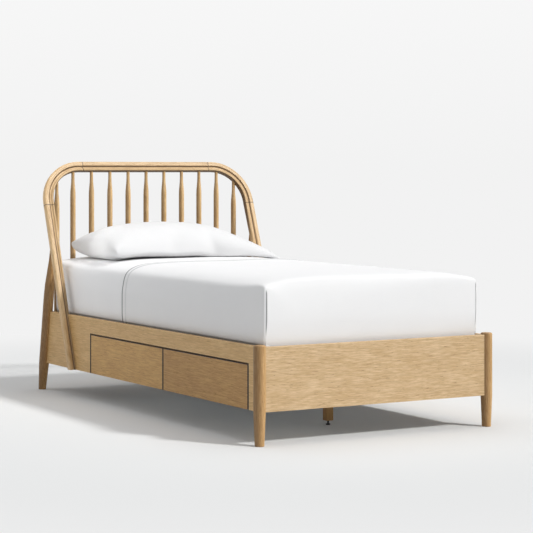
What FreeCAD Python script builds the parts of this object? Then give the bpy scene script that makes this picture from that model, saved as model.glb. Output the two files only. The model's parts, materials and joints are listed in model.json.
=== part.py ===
import FreeCAD, Part
import math
import os

from FreeCAD import Vector

# Storage bed for a twin mattress: a low oak frame with a bent, grooved headboard hoop over
# turned spindles, and two drawers in its left side rail.
# X runs across the bed, Y towards the head, Z up. The origin is on the floor, at the middle
# of the bed's overall width and length.

# The mattress that the frame is made for
mattress_width = 965.0
mattress_length = 1905.0
mattress_height = 283.0
mattress_sink = 34.0
mattress_side_room = 7.5
mattress_foot_room = 7.5
mattress_head_room = 15.0

# Frame
board_thickness = 25.0
rail_top = 362.0
rail_bottom = 124.0
rail_height = rail_top - rail_bottom
half_spacing = mattress_width / 2 + mattress_side_room + board_thickness
rail_outer = half_spacing
rail_inner = rail_outer - board_thickness
edge_ease = 2.0
cut_overrun = 60.0

# Flats round what is turned or bored
post_sides = 36
spindle_sides = 18
small_sides = 12

# Foot posts, turned
post_radius = 23.0
post_toe_radius = 18.0
post_rise = 7.0
post_top_round = 5.0
toe_chamfer = 1.5
panel_housing = 13.0
rail_housing = 9.0

# Rear legs, turned and leaning towards the foot
rear_leg_set_out = 3.0
rear_leg_set_back = 57.0
rear_leg_x = half_spacing + rear_leg_set_out
mattress_head = board_thickness / 2 + mattress_foot_room + mattress_length
rear_leg_run = mattress_head + mattress_head_room + rear_leg_set_back
rear_leg_lean = 0.175
rear_leg_radius = 23.0
rear_toe_radius = 17.0
rear_neck_radius = 9.0
rear_neck_start = 430.0
rear_neck_end = 655.0
rear_leg_top = 722.0
rail_end_lead = 8.0

# Overall length, from the front of the foot posts to the back of the rear legs' toes
rear_toe_reach = rear_toe_radius * math.sqrt(1 + rear_leg_lean ** 2)
foot_y = (post_radius - rear_leg_run - rear_toe_reach) / 2

# Headboard hoop: five lengths of one grooved section, in a plane that leans back
hoop_set_out = 7.5
hoop_half_width = half_spacing + hoop_set_out
hoop_bend_radius = 174.0
hoop_width = 46.0
hoop_depth = 30.0
hoop_edge_round = 8.0
hoop_top = 1021.0
hoop_top_lead = 23.0
hoop_top_run = rear_leg_run - hoop_top_lead
hoop_lean = math.radians(20.5)
hoop_top_tail = 18.5
hoop_leg_tail = 13.0
hoop_top_seam = hoop_half_width - hoop_bend_radius - hoop_top_tail
hoop_leg_seam_drop = hoop_bend_radius + hoop_leg_tail
hoop_foot_width = 34.0
groove_depth = 6.5
round_steps = 4
groove_steps = 6
bend_steps = 12
outer_bead_share = 20.0 / 46.0
groove_share = 17.0 / 46.0

# Spindles, turned
spindle_count = 11
spindle_spread_share = 0.9024
spindle_pitch = 2 * hoop_half_width * spindle_spread_share / (spindle_count - 1)
spindle_radius = 12.5
spindle_neck_radius = 7.5
spindle_neck_length = 26.0
spindle_taper_length = 84.0
spindle_tenon = 14.0
spindle_foot_radius = 8.0
spindle_foot_tenon = 20.0
spindle_lead = 5.0
taper_row_shares = (0, 0.25, 0.5, 0.75, 1)
taper_thin_shares = (0, 0.13, 0.5, 0.87, 1)
outer_spindle_inset = 7.0

# Head rail between the rear legs, which holds the spindles' feet
head_rail_thickness = 42.0
head_rail_lead = 36.0
head_rail_run = rear_leg_run - head_rail_lead
head_rail_bottom = 150.0
head_rail_housing = 10.0

# Slats, their cleats and the centre beam with its legs
slat_count = 13
slat_width = 70.0
slat_thickness = 18.0
slat_end_room = 3.0
slat_margin = 26.0
cleat_width = 30.0
cleat_height = 22.0
cleat_end_room = 40.0
beam_width = 40.0
beam_height = 62.0
leg_side = 32.0
leg_names = ("foot", "middle", "head")
leg_run_shares = (0.1753, 0.4882, 0.8012)
leg_runs = {name: share * rear_leg_run for name, share in zip(leg_names, leg_run_shares)}
leg_clearance = 18.0
leg_edge_flat = 3.0
glide_pad_radius = 9.0
glide_pad_height = 5.0
glide_pad_chamfer = 1.0
glide_stem_radius = 4.0
glide_stem_length = 38.0
glide_bore_clearance = 0.05
glide_travel = 8.0
glide_bore_spare = 4.0

# Drawers in the left rail
reveal = 4.0
drawer_opening_start = 82.5
drawer_opening_lead = 523.5
drawer_opening_end = rear_leg_run - drawer_opening_lead
drawer_opening_top = 295.0
drawer_front_thickness = 22.0
drawer_back_room = 53.0
drawer_depth = half_spacing - drawer_front_thickness - beam_width / 2 - drawer_back_room
drawer_side_thickness = 12.0
drawer_side_height = 118.0
drawer_floor_thickness = 8.0
drawer_floor_drop = 7.0
drawer_groove = 6.0
finger_room = 17.0
finger_groove_depth = 7.0
finger_groove_height = 20.0
finger_groove_margin = 40.0
partition_thickness = 18.0
partition_lap = 5.5

# Telescopic runners, in pressed steel
runner_end_room = 20.0
runner_length = drawer_depth - runner_end_room
runner_height = 45.0
runner_thickness = 12.7
runner_sheet = 1.2
runner_gap = 0.4
runner_setback = 2.0
runner_centre_rise = 60.0

# Corner brackets and their bolts
bracket_leg = 50.0
bracket_height = 80.0
bracket_sheet = 3.0
bracket_rise = 60.0
bracket_bend = 5.0
bolt_radius = 3.0
bolt_length = 18.0
bolt_head_radius = 6.0
bolt_head_height = 4.0
bolt_head_sides = 6
bolt_edge = 18.0

# Bedding
soft_gap = 0.3
mattress_corner = 18.0
mattress_top_round = 28.0
mattress_bottom_round = 16.0
mattress_crown = 4.0
mattress_crown_inset = 90.0
sheet_thickness = 1.5
sheet_hem_rise = 6.0
top_sheet_hem_lead = 782.0
top_sheet_hem_run = rear_leg_run - top_sheet_hem_lead
pillow_length = 850.0
pillow_width = 470.0
pillow_height = 162.0
pillow_lead = 317.0
pillow_run = rear_leg_run - pillow_lead
pillow_shift = 10.0
pillow_seam_rise = 31.0
pillow_seam_tilt = 20.0
pillow_end_height = 10.0
pillow_waist = 16.0
pillow_flat_share = 0.62
pillow_belly_share = 0.36
pillow_end_power = 2.6
pillow_swell_power = 0.62
pillow_top_steps = 8
pillow_side_steps = 2


def along(run):
    """Turns a distance from the foot posts' centre line into a Y position."""
    return foot_y + run


def block(x0, x1, y0, y1, z0, z1):
    """A box between two corners."""
    return Part.makeBox(x1 - x0, y1 - y0, z1 - z0, Vector(x0, y0, z0))


def arc_points(centre, radius, start, sweep, steps):
    """Points along an arc about a centre, from a start angle over a sweep in degrees."""
    angles = [math.radians(start + sweep * number / steps) for number in range(steps + 1)]
    return [(centre[0] + radius * math.cos(angle), centre[1] + radius * math.sin(angle)) for angle in angles]


def turned(outline, sides):
    """A solid turned about Z from the radius and height of its outline, in narrow flats. It
    steps in or out where two points share a height."""
    stretches = [[outline[0]]]
    for before, point in zip(outline, outline[1:]):
        if point[1] == before[1]:
            stretches.append([])
        stretches[-1].append(point)
    solids = []
    for stretch in stretches:
        rings = [[Vector(x, y, height) for x, y in arc_points((0, 0), radius, 0, 360, sides)[:-1]]
                 for radius, height in stretch]
        solids.append(Part.makeLoft([Part.makePolygon(ring + ring[:1]) for ring in rings], True, True))
    return solids[0].fuse(solids[1:]) if len(solids) > 1 else solids[0]


def taper(radius0, height0, radius1, height1):
    """The outline of a soft taper between two radii, in short cones."""
    return [(radius0 + (radius1 - radius0) * thin, height0 + (height1 - height0) * row)
            for row, thin in zip(taper_row_shares, taper_thin_shares)]


def prism(outline, direction):
    """A flat outline pushed straight along a direction."""
    return Part.Face(Part.makePolygon(outline + [outline[0]])).extrude(direction)


def peg(point, way, radius, sides):
    """A round peg, or the hole for one, in narrow flats, from a point along a way."""
    upright = Vector(0, 0, 1) if way.z == 0 else Vector(0, 1, 0)
    across = upright.cross(way).normalize()
    points = [point + across * u + upright * v for u, v in arc_points((0, 0), radius, 0, 360, sides)]
    return prism(points[:-1], way)


def eased(shape, flat, wanted):
    """Takes a small flat off the straight edges that the wanted test picks by their two ends."""
    edges = []
    for edge in shape.Edges:
        if len(edge.Vertexes) == 2 and edge.Curve.TypeId == "Part::GeomLine":
            if wanted(edge.Vertexes[0].Point, edge.Vertexes[1].Point):
                edges.append(edge)
    return shape.makeChamfer(flat, edges) if edges else shape


def on_plane(value, *numbers):
    """True when all the numbers lie on one coordinate value."""
    return all(abs(number - value) < edge_ease / 100 for number in numbers)


# Frame: posts, legs, rails and panel


def foot_post_stock(side):
    """A turned post: a taper to the toe below the rail, and a rounded top above it."""
    top = rail_top + post_rise
    bend = post_top_round * (1 - math.sqrt(0.5))
    outline = [
        (post_toe_radius - toe_chamfer, 0),
        (post_toe_radius, toe_chamfer),
        (post_radius, rail_bottom),
        (post_radius, top - post_top_round),
        (post_radius - bend, top - bend),
        (post_radius - post_top_round, top),
    ]
    post = turned(outline, post_sides)
    post.translate(Vector(side * half_spacing, foot_y, 0))
    return post


def foot_panel_stock():
    """The board between the foot posts, housed in both."""
    end = half_spacing - post_radius + panel_housing
    return block(-end, end, foot_y - board_thickness / 2, foot_y + board_thickness / 2, rail_bottom, rail_top)


def rail_end_y(height):
    """Where a side rail ends at a height: a line just ahead of the leaning rear leg's axis."""
    return along(rear_leg_run - rear_leg_lean * height - rail_end_lead)


def side_rail_stock(side):
    """A side rail's board, with its rear end sloped like the rear leg."""
    start = foot_y + post_radius - rail_housing
    outline = [(start, rail_bottom)]
    if side < 0:
        outline += [
            (along(drawer_opening_start), rail_bottom),
            (along(drawer_opening_start), drawer_opening_top),
            (along(drawer_opening_end), drawer_opening_top),
            (along(drawer_opening_end), rail_bottom),
        ]
    outline += [(rail_end_y(rail_bottom), rail_bottom), (rail_end_y(rail_top), rail_top), (start, rail_top)]
    points = [Vector(side * rail_outer, y, z) for y, z in outline]
    return prism(points, Vector(-side * board_thickness, 0, 0))


def head_rail_stock():
    """The thick rail between the rear legs, under the spindles."""
    end = rear_leg_x - rear_leg_radius + head_rail_housing
    y = along(head_rail_run)
    half = head_rail_thickness / 2
    return block(-end, end, y - half, y + half, head_rail_bottom, slat_bottom)


def rear_leg_stock(side):
    """A turned leg that leans towards the foot, with a long neck that enters the hoop's back."""
    stretch = math.sqrt(1 + rear_leg_lean ** 2)
    neck_start, neck_end = rear_neck_start * stretch, rear_neck_end * stretch
    toe_slope = (rear_leg_radius - rear_toe_radius) / (rail_bottom * stretch)
    outline = [
        (rear_toe_radius * (1 - toe_slope), -rear_toe_radius),
        (rear_leg_radius, rail_bottom * stretch),
        *taper(rear_leg_radius, neck_start, rear_neck_radius, neck_end),
        (rear_neck_radius, rear_leg_top * stretch),
    ]
    leg = turned(outline, post_sides)
    leg.rotate(Vector(0, 0, 0), Vector(1, 0, 0), math.degrees(math.atan(rear_leg_lean)))
    leg.translate(Vector(side * rear_leg_x, along(rear_leg_run), 0))
    reach = rear_leg_radius * 2
    floor_cut = block(-reach, reach, -reach, reach, -cut_overrun, 0)
    floor_cut.translate(Vector(side * rear_leg_x, along(rear_leg_run), 0))
    return leg.cut(floor_cut)


def bracket_corners():
    """The four inner corners: side, the face across the bed, and the way to the bed's middle."""
    foot_face = foot_y + board_thickness / 2
    head_face = along(head_rail_run) - head_rail_thickness / 2
    return [(side, face, way) for side in (-1, 1) for face, way in ((foot_face, 1), (head_face, -1))]


def bracket(side, face, way):
    """A bent steel angle in an inner corner of the frame."""
    z0 = rail_bottom + bracket_rise
    corner = (side * rail_inner, face)
    far_x = corner[0] - side * bracket_leg
    far_y = corner[1] + way * bracket_leg
    inner_x = corner[0] - side * bracket_sheet
    inner_y = corner[1] + way * bracket_sheet
    outline = [corner, (far_x, corner[1]), (far_x, inner_y),
               (inner_x, inner_y), (inner_x, far_y), (corner[0], far_y)]
    solid = prism([Vector(x, y, z0) for x, y in outline], Vector(0, 0, bracket_height))
    inside = [edge for edge in solid.Edges
              if all(abs(v.X - inner_x) + abs(v.Y - inner_y) < runner_gap for v in edge.Vertexes)]
    solid = solid.makeFillet(bracket_bend, inside)
    for hole in bracket_bolts(side, face, way, bolt_radius, -bracket_sheet):
        solid = solid.cut(hole)
    return solid


def bolt_places(side, face, way):
    """Each bolt of a bracket: the point on the bracket's inner face and the way into the wood."""
    z_low = rail_bottom + bracket_rise + bolt_edge
    z_high = rail_bottom + bracket_rise + bracket_height - bolt_edge
    reach = bracket_leg - bolt_edge
    on_rail = [(Vector(side * (rail_inner - bracket_sheet), face + way * reach, z), Vector(side, 0, 0))
               for z in (z_low, z_high)]
    across = [(Vector(side * (rail_inner - reach), face + way * bracket_sheet, z), Vector(0, -way, 0))
              for z in (z_low, z_high)]
    return on_rail + across


def bracket_bolts(side, face, way, radius, start):
    """Plain shanks at a bracket's bolt places."""
    return [peg(point + direction * start, direction * (bolt_length - start), radius, small_sides)
            for point, direction in bolt_places(side, face, way)]


def bolt(point, direction):
    """A hexagon-head bolt."""
    head = peg(point, direction * -bolt_head_height, bolt_head_radius, bolt_head_sides)
    return head.fuse(peg(point, direction * bolt_length, bolt_radius, small_sides))


def bolt_holes():
    """All the bolt holes in the wood, as one compound to cut away."""
    return Part.makeCompound([hole for corner in bracket_corners()
                              for hole in bracket_bolts(*corner, bolt_radius, 0)])


# Headboard: hoop and spindles


def hoop_point(across, drop, out=0):
    """A point of the leaning hoop plane: across the bed, down the slope from the top rail's
    centre line, and out of the plane towards the foot."""
    y = along(hoop_top_run) - drop * math.sin(hoop_lean) - out * math.cos(hoop_lean)
    z = hoop_top - drop * math.cos(hoop_lean) + out * math.sin(hoop_lean)
    return Vector(across, y, z)


def section_wire(place, width):
    """The grooved section. place(u, v) gives the point at u towards the hoop's outside and v
    towards its front face. The outer edge stays put and a narrower section is taken in from
    the inside, where the rounding shrinks with it."""
    outer = hoop_width / 2
    inner = outer - width
    front = hoop_depth / 2
    share = width / hoop_width
    r, s = hoop_edge_round, hoop_edge_round * share
    half_groove = groove_share * width / 2
    depth = groove_depth * share
    middle = outer - outer_bead_share * width - half_groove
    radius = (half_groove ** 2 + depth ** 2) / (2 * depth)
    half_sweep = math.degrees(math.asin(half_groove / radius))
    points = arc_points((outer - r, front - r), r, 0, 90, round_steps)
    groove_centre = (middle, front - depth + radius)
    points += arc_points(groove_centre, radius, half_sweep - 90, -2 * half_sweep, groove_steps)
    points += arc_points((inner + s, front - s), s, 90, 90, round_steps)
    points += arc_points((inner + s, s - front), s, 180, 90, round_steps)
    points += arc_points((outer - r, r - front), r, 270, 90, round_steps)
    points = [place(*point) for point in points]
    return Part.makePolygon(points + [points[0]])


def across_section(x, drop_origin=0):
    """The section at a place on the top rail, seen along the bed's width."""
    return section_wire(lambda u, v: hoop_point(x, drop_origin - u, v), hoop_width)


def down_section(drop, width, side):
    """The section at a place on a leg of the hoop."""
    return section_wire(lambda u, v: hoop_point(side * (hoop_half_width + u), drop, v), width)


def hoop_top_rail():
    """The straight length over the middle, with a socket for each spindle under it."""
    face = Part.Face(across_section(-hoop_top_seam))
    return face.extrude(Vector(2 * hoop_top_seam, 0, 0)).cut(spindle_sockets())


def hoop_corner(side):
    """A bent corner: a quarter turn of the section, with a short straight tail at each end."""
    bend_x = hoop_half_width - hoop_bend_radius
    sections = [across_section(side * hoop_top_seam)]
    for number in range(bend_steps + 1):
        angle = math.radians(90) * number / bend_steps
        sections.append(section_wire(lambda u, v: hoop_point(
            side * (bend_x + (hoop_bend_radius + u) * math.sin(angle)),
            hoop_bend_radius - (hoop_bend_radius + u) * math.cos(angle), v), hoop_width))
    sections.append(down_section(hoop_leg_seam_drop, hoop_width, side))
    return Part.makeLoft(sections, True, True).cut(spindle_sockets())


def hoop_leg(side):
    """A straight, narrowing leg that runs forward and down, halved over the side rail."""
    end_drop = (hoop_top - rail_bottom) / math.cos(hoop_lean) + hoop_depth
    leg = Part.makeLoft([down_section(hoop_leg_seam_drop, hoop_width, side),
                         down_section(end_drop, hoop_foot_width, side)], True, True)
    reach = hoop_half_width + hoop_width
    y0, y1 = along(0), along(hoop_top_run)
    below = block(-reach, reach, y0, y1, rail_bottom - cut_overrun, rail_bottom)
    lap = block(-rail_outer, rail_outer, y0, y1, rail_bottom - cut_overrun, rail_top)
    return leg.cut(below).cut(lap).cut(rear_leg_stock(side))


def spindle_places():
    """Each spindle's X and Y, and the height at which it meets the hoop's underside."""
    places = []
    middle = (spindle_count - 1) / 2
    bend_x = hoop_half_width - hoop_bend_radius
    inner_radius = hoop_bend_radius - hoop_width / 2
    for number in range(spindle_count):
        x = (number - middle) * spindle_pitch
        if abs(x) > bend_x + hoop_width:
            x -= math.copysign(outer_spindle_inset, x)
        past_bend = max(0, abs(x) - bend_x)
        centre_drop = hoop_bend_radius - math.sqrt(hoop_bend_radius ** 2 - past_bend ** 2)
        under_drop = hoop_bend_radius - math.sqrt(inner_radius ** 2 - past_bend ** 2)
        y = hoop_point(x, centre_drop).y - spindle_lead
        places.append((x, y, hoop_point(x, under_drop).z))
    return places


def spindle_sockets():
    """The round sockets that the spindles' necks enter in the hoop."""
    way = Vector(0, 0, spindle_tenon + hoop_width)
    return Part.makeCompound([peg(Vector(x, y, top - hoop_width), way, spindle_neck_radius, spindle_sides)
                              for x, y, top in spindle_places()])


def spindle_feet():
    """The round mortises for the spindles' lower ends."""
    way = Vector(0, 0, spindle_foot_tenon + cut_overrun)
    return Part.makeCompound([peg(Vector(x, y, slat_bottom - spindle_foot_tenon), way,
                                  spindle_foot_radius, spindle_sides)
                              for x, y, top in spindle_places()])


def spindle(x, y, top):
    """A turned spindle: a tenon, a long plain body and a slender neck at the top."""
    neck_low = top - spindle_neck_length
    taper_low = neck_low - spindle_taper_length
    solid = turned([
        (spindle_foot_radius, slat_bottom - spindle_foot_tenon),
        (spindle_foot_radius, slat_bottom),
        (spindle_radius, slat_bottom),
        *taper(spindle_radius, taper_low, spindle_neck_radius, neck_low),
        (spindle_neck_radius, top + spindle_tenon),
    ], spindle_sides)
    solid.translate(Vector(x, y, 0))
    return solid


# Mattress support

mattress_bottom = rail_top - mattress_sink
slat_top = mattress_bottom - soft_gap
slat_bottom = slat_top - slat_thickness
mattress_foot = along(board_thickness / 2 + mattress_foot_room)


def slats():
    """The slats, evenly spaced from one end of the mattress to the other."""
    end = rail_inner - slat_end_room
    first = mattress_foot + slat_margin
    last = mattress_foot + mattress_length - slat_margin - slat_width
    pitch = (last - first) / (slat_count - 1)
    boards = []
    for number in range(slat_count):
        y = first + number * pitch
        board = block(-end, end, y, y + slat_width, slat_bottom, slat_top)
        boards.append(eased(board, edge_ease, lambda a, b: on_plane(slat_top, a.z, b.z) and a.x * b.x < 0))
    return Part.makeCompound(boards)


def cleat(side):
    """The ledge along a side rail that the slats' ends rest on."""
    x0, x1 = sorted((side * rail_inner, side * (rail_inner - cleat_width)))
    y1 = along(head_rail_run) - head_rail_thickness / 2
    y0 = foot_y + board_thickness / 2 + cleat_end_room
    return block(x0, x1, y0, y1 - cleat_end_room, slat_bottom - cleat_height, slat_bottom)


def centre_beam():
    """The beam under the slats' middles, from the foot panel to the head rail."""
    y0 = foot_y + board_thickness / 2
    y1 = along(head_rail_run) - head_rail_thickness / 2
    return block(-beam_width / 2, beam_width / 2, y0, y1, slat_bottom - beam_height, slat_bottom)


def support_leg(name):
    """A square leg under the centre beam, bored for its levelling glide."""
    y = along(leg_runs[name])
    half = leg_side / 2
    leg = block(-half, half, y - half, y + half, leg_clearance, slat_bottom - beam_height)
    leg = eased(leg, leg_edge_flat, lambda a, b: on_plane(a.x, b.x) and on_plane(a.y, b.y))
    depth = glide_pad_height + glide_stem_length + glide_travel + glide_bore_spare - leg_clearance
    bore_radius = glide_stem_radius + glide_bore_clearance
    return leg.cut(peg(Vector(0, y, leg_clearance), Vector(0, 0, depth), bore_radius, small_sides))


def levelling_glide(name):
    """A screw-in glide: a pad on the floor and a stem up into its leg."""
    top = glide_pad_height + glide_stem_length
    glide = turned([
        (glide_pad_radius - glide_pad_chamfer, 0),
        (glide_pad_radius, glide_pad_chamfer),
        (glide_pad_radius, glide_pad_height - glide_pad_chamfer),
        (glide_pad_radius - glide_pad_chamfer, glide_pad_height),
        (glide_stem_radius, glide_pad_height),
        (glide_stem_radius, top),
    ], small_sides)
    glide.translate(Vector(0, along(leg_runs[name]), 0))
    return glide


# Drawers and runners

opening_middle = (drawer_opening_start + drawer_opening_end) / 2
drawer_spans = {
    "foot": (drawer_opening_start, opening_middle),
    "head": (opening_middle, drawer_opening_end),
}
drawer_names = ("foot", "head")
box_bottom = rail_bottom + finger_room
front_back_x = -rail_outer + drawer_front_thickness


def partition_run(name):
    """The middle of a partition's thickness, as a distance from the posts' centre line."""
    lap = partition_thickness / 2 - partition_lap
    runs = {"foot": drawer_opening_start - lap, "middle": opening_middle, "head": drawer_opening_end + lap}
    return runs[name]


def partition(name):
    """A board from the side rail to the centre beam, which carries the runners."""
    y = along(partition_run(name))
    half = partition_thickness / 2
    return block(-rail_inner, -beam_width / 2, y - half, y + half, box_bottom, slat_bottom - cleat_height)


def front_span(name):
    """A drawer front's two ends: a full reveal at the rail and half of one at the other front."""
    start, end = drawer_spans[name]
    near = reveal if name == "foot" else reveal / 2
    far = reveal if name == "head" else reveal / 2
    return along(start + near), along(end - far)


def drawer_front(name):
    """An inset front, flush with the rail, with a finger groove along its hidden lower edge."""
    y0, y1 = front_span(name)
    top = drawer_opening_top - reveal
    front = block(-rail_outer, front_back_x, y0, y1, rail_bottom, top)
    front = eased(front, edge_ease / 2, lambda a, b: on_plane(-rail_outer, a.x, b.x))
    groove = block(front_back_x - finger_groove_depth, front_back_x + cut_overrun, y0 + finger_groove_margin,
                   y1 - finger_groove_margin, rail_bottom - cut_overrun, rail_bottom + finger_groove_height)
    floor_slot = drawer_floor(name)
    return front.cut(groove.cut(block(-rail_outer, 0, y0, y1, box_bottom, top))).cut(floor_slot)


def box_span(name):
    """The outer faces of a drawer's sides, a runner's thickness in from the partitions."""
    near, far = {"foot": ("foot", "middle"), "head": ("middle", "head")}[name]
    room = partition_thickness / 2 + runner_thickness
    return along(partition_run(near) + room), along(partition_run(far) - room)


def drawer_side(name, end):
    """One side of a drawer box, grooved for the floor."""
    y0, y1 = box_span(name)
    y = y0 if end == "foot" else y1 - drawer_side_thickness
    board = block(front_back_x, front_back_x + drawer_depth, y, y + drawer_side_thickness,
                  box_bottom, box_bottom + drawer_side_height)
    board = eased(board, edge_ease, lambda a, b: on_plane(box_bottom + drawer_side_height, a.z, b.z)
                  and on_plane(a.y, b.y))
    return board.cut(drawer_floor(name))


def drawer_back(name):
    """The back of a drawer box, between its sides."""
    y0, y1 = box_span(name)
    x1 = front_back_x + drawer_depth
    board = block(x1 - drawer_side_thickness, x1, y0 + drawer_side_thickness, y1 - drawer_side_thickness,
                  box_bottom, box_bottom + drawer_side_height)
    return board.cut(drawer_floor(name))


def drawer_floor(name):
    """The floor of a drawer, let into its front, sides and back."""
    y0, y1 = box_span(name)
    inset = drawer_side_thickness - drawer_groove
    z0 = box_bottom + drawer_floor_drop
    return block(front_back_x - drawer_groove, front_back_x + drawer_depth - inset, y0 + inset, y1 - inset,
                 z0, z0 + drawer_floor_thickness)


def channel(web_at, web_way, depth, half_height):
    """A channel section of runner sheet in (thickness, height), as the outline of its profile."""
    inner = half_height - runner_sheet
    web_in = web_at + web_way * runner_sheet
    lip = web_at + web_way * depth
    return [(web_at, -half_height), (lip, -half_height), (lip, -inner), (web_in, -inner),
            (web_in, inner), (lip, inner), (lip, half_height), (web_at, half_height)]


def runner_profile(member):
    """The three nested members: outer on the partition, middle between, inner on the drawer."""
    half = runner_height / 2
    step = runner_sheet + runner_gap
    if member == "outer":
        return channel(0, 1, runner_thickness - step, half)
    if member == "middle":
        return channel(step, 1, runner_thickness - 2 * step, half - step)
    return channel(runner_thickness, -1, runner_thickness - 2 * step - runner_gap, half - 2 * step)


def runner_pair(name, member):
    """One member of both runners of a drawer."""
    near, far = {"foot": ("foot", "middle"), "head": ("middle", "head")}[name]
    x0 = front_back_x + runner_setback + (rail_outer - drawer_front_thickness - rail_inner)
    z = box_bottom + runner_centre_rise
    half = partition_thickness / 2
    pair = []
    for face, way in ((along(partition_run(near)) + half, 1), (along(partition_run(far)) - half, -1)):
        outline = [Vector(x0, face + way * t, z + h) for t, h in runner_profile(member)]
        pair.append(prism(outline, Vector(runner_length, 0, 0)))
    return Part.makeCompound(pair)


# Bedding


def rounded_outline(half_x, y0, y1, z, radius):
    """A rectangle with rounded corners, as a wire at one height."""
    k = radius * (1 - math.sqrt(0.5))
    edges = []
    corners = [(half_x, y0, -1, 1), (half_x, y1, -1, -1), (-half_x, y1, 1, -1), (-half_x, y0, 1, 1)]
    for number, (x, y, sx, sy) in enumerate(corners):
        along_x, along_y = Vector(x + sx * radius, y, z), Vector(x, y + sy * radius, z)
        start, end = (along_x, along_y) if number % 2 == 0 else (along_y, along_x)
        edges.append(Part.Arc(start, Vector(x + sx * k, y + sy * k, z), end).toShape())
        nx, ny, nsx, nsy = corners[(number + 1) % len(corners)]
        following = Vector(nx, ny + nsy * radius, z) if number % 2 == 0 else Vector(nx + nsx * radius, ny, z)
        edges.append(Part.makeLine(end, following))
    return Part.Wire(edges)


def mattress_form(grow, rise=0):
    """The mattress, drawn in at its rounded edges and crowned on top. grow sets it that much
    larger all round and on top, for the sheets over it; rise lifts its lower end."""
    top = mattress_bottom + mattress_height - mattress_crown
    r, b = mattress_top_round, mattress_bottom_round
    half_turn = math.sqrt(0.5)
    levels = [
        (mattress_bottom + rise, b if rise == 0 else 0),
        (mattress_bottom + b * (1 - half_turn) + rise, b * (1 - half_turn) if rise == 0 else 0),
        (mattress_bottom + b + rise, 0),
        (top - r, 0),
        (top - r * half_turn + grow / 2, r * (1 - half_turn) / 2),
        (top - r * (1 - half_turn) + grow, r * (1 - half_turn)),
        (top + grow, r),
        (top + mattress_crown + grow, mattress_crown_inset),
    ]
    half_width = mattress_width / 2 + grow
    y0, y1 = mattress_foot - grow, mattress_foot + mattress_length + grow
    wires = [rounded_outline(half_width - inset, y0 + inset, y1 - inset, z, mattress_corner)
             for z, inset in levels]
    return Part.makeLoft(wires, True, True)


def mattress():
    return mattress_form(0)


def sheet_over(inner_grow, end_y):
    """A thin sheet that lies over the mattress and hangs down its sides, cut off at end_y."""
    inner = mattress_form(inner_grow)
    outer = mattress_form(inner_grow + sheet_thickness)
    reach = mattress_width
    hem = mattress_bottom + mattress_bottom_round + sheet_hem_rise
    y0 = mattress_foot - cut_overrun
    keep = block(-reach, reach, y0, end_y, hem, hem + mattress_height * 2)
    return outer.cut(inner).common(keep)


def fitted_sheet():
    """The sheet stretched over the whole mattress."""
    return sheet_over(soft_gap, mattress_foot + mattress_length + cut_overrun)


def top_sheet():
    """The sheet over the lower two thirds of the bed."""
    return sheet_over(2 * soft_gap + sheet_thickness, along(top_sheet_hem_run))


def pillow():
    """A plump pillow: sections of three arcs along its length, flat where it lies, drawn in at
    the middle of its long sides and pinched at its two ends."""
    seat = mattress_bottom + mattress_height + sheet_thickness + 2 * soft_gap
    length_shares = (-1, -0.9, -0.7, -0.35, 0, 0.35, 0.7, 0.9, 1)
    half_length = pillow_length / 2
    wires = []
    for share in length_shares:
        rise = pillow_seam_rise - pillow_seam_tilt * share
        swell = (1 - abs(share) ** pillow_end_power) ** pillow_swell_power
        height = pillow_end_height + (pillow_height - pillow_end_height) * swell
        half_width = pillow_width / 2 - pillow_waist * (1 - share ** 2)
        seam = seat + rise + (pillow_seam_rise - rise) * swell
        low = seam - max((seam - seat) * min(1, swell * 2), pillow_end_height / 2)
        top = max(seat + height, seam + pillow_end_height / 2)
        flat = half_width * pillow_flat_share * min(1, swell + pillow_flat_share / 2)
        x = pillow_shift + share * half_length
        y = along(pillow_run)
        mid_y = (half_width + flat) / 2
        belly = low + (seam - low) * pillow_belly_share
        front, back = Vector(x, y - half_width, seam), Vector(x, y + half_width, seam)
        flat_front, flat_back = Vector(x, y - flat, low), Vector(x, y + flat, low)
        arcs = [(Part.Arc(front, Vector(x, y, top), back), pillow_top_steps),
                (Part.Arc(back, Vector(x, y + mid_y, belly), flat_back), pillow_side_steps),
                (Part.Arc(flat_front, Vector(x, y - mid_y, belly), front), pillow_side_steps)]
        points = [point for arc, steps in arcs for point in arc.toShape().discretize(steps + 1)]
        wires.append(Part.makePolygon(points[:-1] + points[:1]))
    return Part.makeLoft(wires, True, True)


# All the pieces, by the name of their node


def headboard_pieces():
    """The hoop's five lengths, the spindles and the rail under them."""
    pieces = {"headboard_top_rail": hoop_top_rail()}
    for label, side in (("left", -1), ("right", 1)):
        pieces["headboard_corner_" + label] = hoop_corner(side)
        pieces["headboard_leg_" + label] = hoop_leg(side)
    for number, place in enumerate(spindle_places(), 1):
        pieces["spindle_%02d" % number] = spindle(*place)
    pieces["head_rail"] = head_rail_stock().cut(spindle_feet()).cut(bolt_holes())
    return pieces


def frame_pieces():
    """The posts, legs, rails, panel and the brackets that join them."""
    panel = foot_panel_stock()
    head = head_rail_stock()
    holes = bolt_holes()
    upper = lambda a, b: on_plane(rail_top, a.z, b.z) and on_plane(a.y, b.y)
    rail_upper = lambda a, b: on_plane(rail_top, a.z, b.z) and on_plane(a.x, b.x)
    pieces = {"foot_panel": eased(panel, edge_ease, upper).cut(holes)}
    for label, side in (("left", -1), ("right", 1)):
        rail = side_rail_stock(side)
        pieces["foot_post_" + label] = foot_post_stock(side).cut(panel).cut(rail)
        pieces["rear_leg_" + label] = rear_leg_stock(side).cut(rail).cut(head)
        pieces["side_rail_" + label] = eased(rail, edge_ease, rail_upper).cut(head).cut(holes)
    corners = bracket_corners()
    pieces["corner_brackets"] = Part.makeCompound([bracket(*corner) for corner in corners])
    pieces["bracket_bolts"] = Part.makeCompound([bolt(*place) for corner in corners
                                                 for place in bolt_places(*corner)])
    return pieces


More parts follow.
